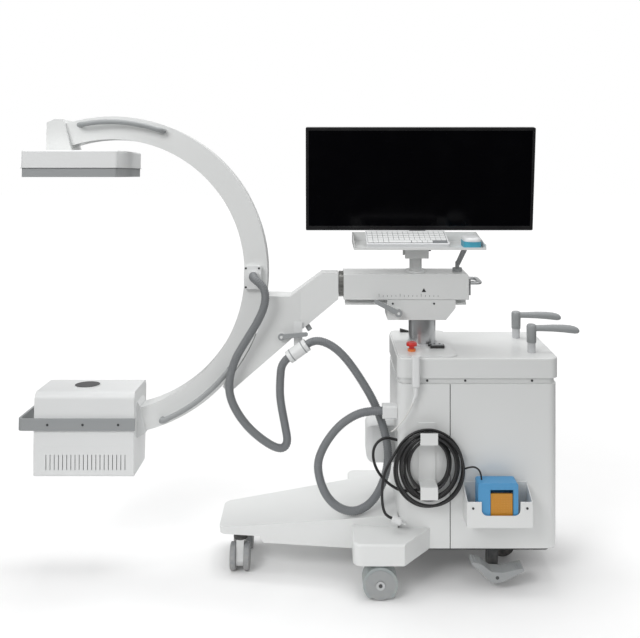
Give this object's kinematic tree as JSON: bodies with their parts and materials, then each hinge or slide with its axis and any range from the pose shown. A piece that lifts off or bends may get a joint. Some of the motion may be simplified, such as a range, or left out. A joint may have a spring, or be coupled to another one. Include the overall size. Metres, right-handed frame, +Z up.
{
  "type": "mobile c-arm x-ray",
  "caption": "Mobile c-arm x-ray unit: leaning c-shaped arc with tube and flat detector heads on a sliding arm, lifting column, wheeled cabinet, tray, keyboard and screen.",
  "frame": {"origin": "centre of the bounding box at the floor, wheels down", "axes": "+X along the machine towards the steering handles, minus X to the c-arm end, -Y is the side with the cord coil and foot switch bin, +Z up"},
  "size_m": [1.941, 0.58, 1.5777],
  "materials": {
    "white_paint": "satin",
    "white_plastic": "satin",
    "grey_plastic": "matt",
    "dark_grey": "matt",
    "steel": "brushed",
    "silver": "satin",
    "black_plastic": "matt",
    "blue_plastic": "satin",
    "yellow_plastic": "matt",
    "red_plastic": "gloss",
    "grey_rubber": "matt",
    "screen": "gloss",
    "hose_grey": "matt",
    "cord_black": "matt",
    "cord_white": "matt"
  },
  "bodies": {
    "chassis": {"base_frame": "dark_grey", "front_leg": "white_paint", "outriggers": "white_paint", "cabinet_shell": "white_paint", "side_panels": "white_paint", "cabinet_lid": "white_paint", "lid_fittings": "steel", "cabinet_internals": "black_plastic", "hose_inlet": "white_plastic", "cable_hooks": "white_paint", "pedal_bin": "white_paint", "footswitch_base": "blue_plastic", "wheel_hoods": "grey_plastic", "power_coil": "cord_black", "power_tail": "cord_black", "power_plug": "white_plastic", "handswitch": "white_plastic", "handswitch_cord": "cord_white", "footswitch_cord": "cord_black", "hose_lower": "hose_grey"},
    "footswitch_treadle": {"footswitch_treadle": "yellow_plastic"},
    "stop_button": {"stop_button": "red_plastic"},
    "lift_rocker": {"lift_rocker": "silver"},
    "brake_pedal": {"brake_pedal": "grey_plastic"},
    "steer_handle_near": {"steer_handle_near": "grey_plastic"},
    "steer_handle_far": {"steer_handle_far": "grey_plastic"},
    "front_fork_near": {"front_fork_near": "white_plastic"},
    "front_fork_far": {"front_fork_far": "white_plastic"},
    "front_wheel_near": {"front_wheel_near": "grey_rubber"},
    "front_wheel_far": {"front_wheel_far": "grey_rubber"},
    "main_wheel_near": {"main_wheel_near": "grey_rubber"},
    "main_wheel_far": {"main_wheel_far": "grey_rubber"},
    "rear_fork": {"rear_fork": "steel"},
    "rear_wheel": {"rear_wheel": "black_plastic"},
    "column": {"lift_column": "silver"},
    "saddle": {"arm_saddle": "white_paint"},
    "slide_lock": {"slide_lock": "grey_plastic"},
    "arm": {"sliding_arm": "white_paint", "push_handle": "silver", "console_post": "white_paint", "turn_bearing": "black_plastic"},
    "swivel_lock": {"swivel_lock": "grey_plastic"},
    "carrier": {"c_carrier": "white_paint", "hose_clamp": "white_plastic", "guide_shoes": "black_plastic", "hose_upper": "hose_grey"},
    "orbit_lock": {"orbit_lock": "grey_plastic"},
    "c_arm": {"c_arc": "white_paint", "grab_rails": "grey_plastic", "cable_plate": "white_plastic", "detector_mount": "white_paint", "detector_cover": "white_plastic", "detector_panel": "grey_plastic", "tube_housing": "white_plastic", "tube_bumper": "grey_plastic"},
    "console": {"console_tray": "white_paint", "keyboard_and_mouse": "white_plastic", "monitor_bracket": "dark_grey"},
    "monitor": {"monitor": "screen"}
  },
  "joints": [
    {"name": "column_lift", "type": "slide", "parent": "chassis", "child": "column", "axis": [0, 0, 1], "range_m": [0, 0.4], "deforming": ["hose_lower"]},
    {"name": "arm_swing", "type": "hinge", "parent": "column", "child": "saddle", "pos_m": [0.435, 0, 0.858], "axis": [0, 0, 1], "range_deg": [-12.5, 12.5]},
    {"name": "arm_slide", "type": "slide", "parent": "saddle", "child": "arm", "axis": [1, 0, 0], "range_m": [-0.05, 0.15]},
    {"name": "c_turn", "type": "hinge", "parent": "arm", "child": "carrier", "pos_m": [0.133, 0, 0.976], "axis": [1, 0, 0], "range_deg": [-100, 140]},
    {"name": "c_orbit", "type": "hinge", "parent": "carrier", "child": "c_arm", "pos_m": [-0.678, 0.00265, 1.01591], "axis": [0, 0.9978, -0.0663], "range_deg": [-25, 90], "deforming": ["hose_upper"]},
    {"name": "console_swivel", "type": "hinge", "parent": "arm", "child": "console", "pos_m": [0.412, 0, 1.072], "axis": [0, 0, 1], "range_deg": [-45, 45]},
    {"name": "monitor_tilt", "type": "hinge", "parent": "console", "child": "monitor", "pos_m": [0.433, 0.104, 1.356], "axis": [1, 0, 0], "range_deg": [-12, 6]},
    {"name": "slide_lock_turn", "type": "hinge", "parent": "saddle", "child": "slide_lock", "pos_m": [0.344, -0.07, 0.886], "axis": [0, 1, 0], "range_deg": [-20, 60]},
    {"name": "orbit_lock_turn", "type": "hinge", "parent": "carrier", "child": "orbit_lock", "pos_m": [-0.067, -0.08643, 0.80636], "axis": [0, 0.9978, -0.0663], "range_deg": [-75, 0]},
    {"name": "swivel_lock_turn", "type": "hinge", "parent": "arm", "child": "swivel_lock", "pos_m": [0.562, 0, 1.022], "axis": [0, 0, 1], "range_deg": [-60, 60]},
    {"name": "steer_near_turn", "type": "hinge", "parent": "chassis", "child": "steer_handle_near", "pos_m": [0.803, -0.102, 0.79], "axis": [0, 0, 1], "range_deg": [-60, 60]},
    {"name": "steer_far_turn", "type": "hinge", "parent": "chassis", "child": "steer_handle_far", "pos_m": [0.795, 0.09, 0.79], "axis": [0, 0, 1], "range_deg": [-60, 60]},
    {"name": "brake_rock", "type": "hinge", "parent": "chassis", "child": "brake_pedal", "pos_m": [0.657, -0.206, 0.045], "axis": [0, 1, 0], "range_deg": [-15, 15]},
    {"name": "treadle_press", "type": "hinge", "parent": "chassis", "child": "footswitch_treadle", "pos_m": [0.668, -0.232, 0.242], "axis": [1, 0, 0], "range_deg": [-8, 0], "stiffness_Nm_per_rad": 4, "springref_deg": 2.86},
    {"name": "stop_press", "type": "slide", "parent": "chassis", "child": "stop_button", "axis": [0, 0, -1], "range_m": [0, 0.005], "stiffness_N_per_m": 800, "springref_m": -0.001},
    {"name": "rocker_press", "type": "hinge", "parent": "chassis", "child": "lift_rocker", "pos_m": [0.48, -0.065, 0.77], "axis": [0, 1, 0], "range_deg": [-8, 8], "stiffness_Nm_per_rad": 0.8},
    {"name": "front_swivel_near", "type": "hinge", "parent": "chassis", "child": "front_fork_near", "pos_m": [-0.21, -0.073, 0.126], "axis": [0, 0, 1], "continuous": true},
    {"name": "front_roll_near", "type": "hinge", "parent": "front_fork_near", "child": "front_wheel_near", "pos_m": [-0.21, -0.091, 0.045], "axis": [1, 0, 0], "continuous": true},
    {"name": "front_swivel_far", "type": "hinge", "parent": "chassis", "child": "front_fork_far", "pos_m": [-0.21, 0.073, 0.126], "axis": [0, 0, 1], "continuous": true},
    {"name": "front_roll_far", "type": "hinge", "parent": "front_fork_far", "child": "front_wheel_far", "pos_m": [-0.21, 0.055, 0.045], "axis": [1, 0, 0], "continuous": true},
    {"name": "main_roll_near", "type": "hinge", "parent": "chassis", "child": "main_wheel_near", "pos_m": [0.265, -0.255, 0.045], "axis": [0, 1, 0], "continuous": true},
    {"name": "main_roll_far", "type": "hinge", "parent": "chassis", "child": "main_wheel_far", "pos_m": [0.265, 0.255, 0.045], "axis": [0, 1, 0], "continuous": true},
    {"name": "rear_swivel", "type": "hinge", "parent": "chassis", "child": "rear_fork", "pos_m": [0.7, 0, 0.104], "axis": [0, 0, 1], "continuous": true},
    {"name": "rear_roll", "type": "hinge", "parent": "rear_fork", "child": "rear_wheel", "pos_m": [0.722, 0, 0.045], "axis": [0, 1, 0], "continuous": true}
  ]
}
